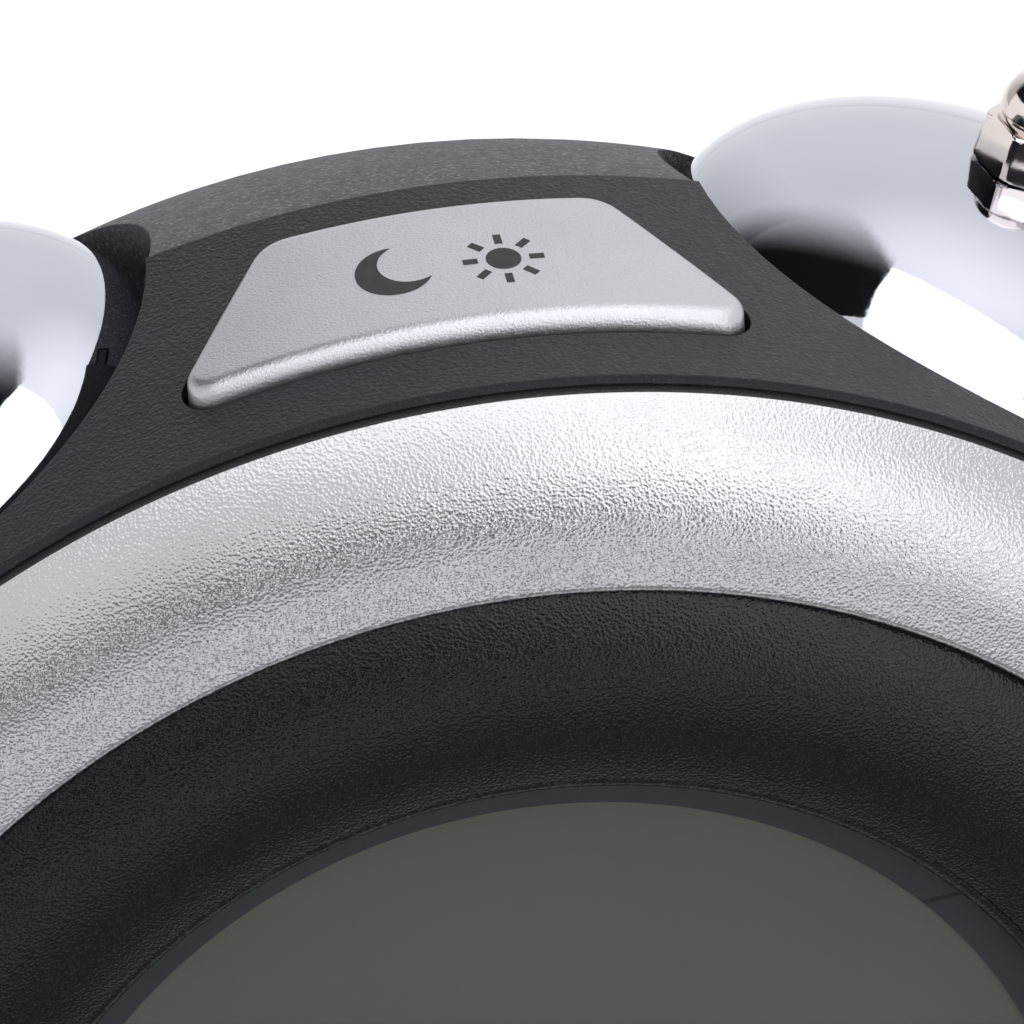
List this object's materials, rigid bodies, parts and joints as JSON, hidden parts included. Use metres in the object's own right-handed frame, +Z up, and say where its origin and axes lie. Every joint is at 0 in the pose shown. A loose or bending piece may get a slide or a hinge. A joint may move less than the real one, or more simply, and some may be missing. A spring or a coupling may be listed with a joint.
{
  "type": "alarm clock",
  "caption": "Round digital alarm clock with chrome bells in scalloped pockets, a silver ring round a dark dial, a top snooze button, rear controls and a vibration motor.",
  "frame": {"origin": "middle of the footprint box, on the table under the soft pads", "axes": "+Z up, the display looks along -Y, +X to the right of someone facing the display"},
  "size_m": [0.1132, 0.056, 0.1233],
  "materials": {
    "charcoal": "fine matte texture",
    "charcoal_rear": "coarser matte texture",
    "satin_silver": "satin silver paint with pebble grain",
    "black_dial": "leather-grained satin black",
    "clear_lens": "clear",
    "slate_mask": "printed dark slate",
    "lcd_green": "grey-green reflective display",
    "milky_guide": "milky",
    "led_white": "phosphor white",
    "white_plastic": "plain moulded",
    "pink_rubber": "striped elastomer",
    "board_green": "solder mask",
    "part_black": "moulded",
    "part_metal": "pressed sheet",
    "screw_zinc": "zinc plated",
    "button_silver": "fine satin silver paint",
    "bell_chrome": "polished",
    "nut_nickel": "polished nickel",
    "paper_cone": "treated paper",
    "weight_metal": "sintered",
    "key_black": "soft matte",
    "cell_wrap": "plain wrap",
    "contact_plate": "nickel plated",
    "ribbon_grey": "flat cable",
    "pad_rubber": "soft"
  },
  "bodies": {
    "clock": {"front_housing": "charcoal", "rear_housing": "charcoal_rear", "bezel_ring": "satin_silver", "dial_surround": "black_dial", "display_lens": "clear_lens", "display_mask": "slate_mask", "lcd_panel": "lcd_green", "light_guide": "milky_guide", "backlight_leds": "led_white", "display_frame": "white_plastic", "contact_strip": "pink_rubber", "main_board": "board_green", "board_parts": "part_black", "board_screws": "screw_zinc", "snooze_board": "board_green", "snooze_switch": "part_black", "left_bell": "bell_chrome", "right_bell": "bell_chrome", "bell_studs": "screw_zinc", "bell_spacers": "screw_zinc", "bell_nuts": "nut_nickel", "cap_nuts": "nut_nickel", "stud_nuts": "screw_zinc", "speaker_basket": "part_metal", "speaker_cone": "paper_cone", "vibration_motor": "part_metal", "motor_clamp": "part_black", "key_board": "board_green", "key_switches": "part_black", "control_pots": "part_metal", "slide_switch": "part_metal", "power_jack": "part_black", "battery_cells": "cell_wrap", "battery_contacts": "contact_plate", "ribbon_cable": "ribbon_grey", "left_foot": "charcoal", "right_foot": "charcoal", "foot_pads": "pad_rubber", "foot_screws": "screw_zinc", "housing_screws": "screw_zinc"},
    "snooze_button": {"snooze_button": "button_silver"},
    "time_button": {"time_button": "key_black"},
    "alarm_button": {"alarm_button": "key_black"},
    "up_button": {"up_button": "key_black"},
    "down_button": {"down_button": "key_black"},
    "volume_knob": {"volume_knob": "key_black"},
    "dimmer_knob": {"dimmer_knob": "key_black"},
    "alarm_slider": {"alarm_slider": "key_black"},
    "battery_door": {"battery_door": "charcoal_rear"},
    "eccentric_weight": {"eccentric_weight": "weight_metal"}
  },
  "joints": [
    {"name": "snooze_press", "type": "slide", "parent": "clock", "child": "snooze_button", "axis": [0, 0, -1], "range_m": [0, 0.0012], "stiffness_N_per_m": 900},
    {"name": "time_press", "type": "slide", "parent": "clock", "child": "time_button", "axis": [0, -1, 0], "range_m": [0, 0.0009], "stiffness_N_per_m": 500},
    {"name": "alarm_press", "type": "slide", "parent": "clock", "child": "alarm_button", "axis": [0, -1, 0], "range_m": [0, 0.0009], "stiffness_N_per_m": 500},
    {"name": "down_press", "type": "slide", "parent": "clock", "child": "down_button", "axis": [0, -1, 0], "range_m": [0, 0.0009], "stiffness_N_per_m": 500},
    {"name": "up_press", "type": "slide", "parent": "clock", "child": "up_button", "axis": [0, -1, 0], "range_m": [0, 0.0009], "stiffness_N_per_m": 500},
    {"name": "volume_turn", "type": "hinge", "parent": "clock", "child": "volume_knob", "pos_m": [-0.029, 0.025, 0.074], "axis": [0, 1, 0], "range_deg": [-140, 140]},
    {"name": "dimmer_turn", "type": "hinge", "parent": "clock", "child": "dimmer_knob", "pos_m": [0.029, 0.025, 0.074], "axis": [0, 1, 0], "range_deg": [-140, 140]},
    {"name": "alarm_slide", "type": "slide", "parent": "clock", "child": "alarm_slider", "axis": [0, 0, 1], "range_m": [-0.003, 0.003]},
    {"name": "battery_door_hinge", "type": "hinge", "parent": "clock", "child": "battery_door", "pos_m": [0, 0.0221, 0.0354], "axis": [-1, 0, 0], "range_deg": [0, 100]},
    {"name": "weight_spin", "type": "hinge", "parent": "clock", "child": "eccentric_weight", "pos_m": [0, 0.006, 0.0275], "axis": [1, 0, 0], "continuous": true}
  ]
}
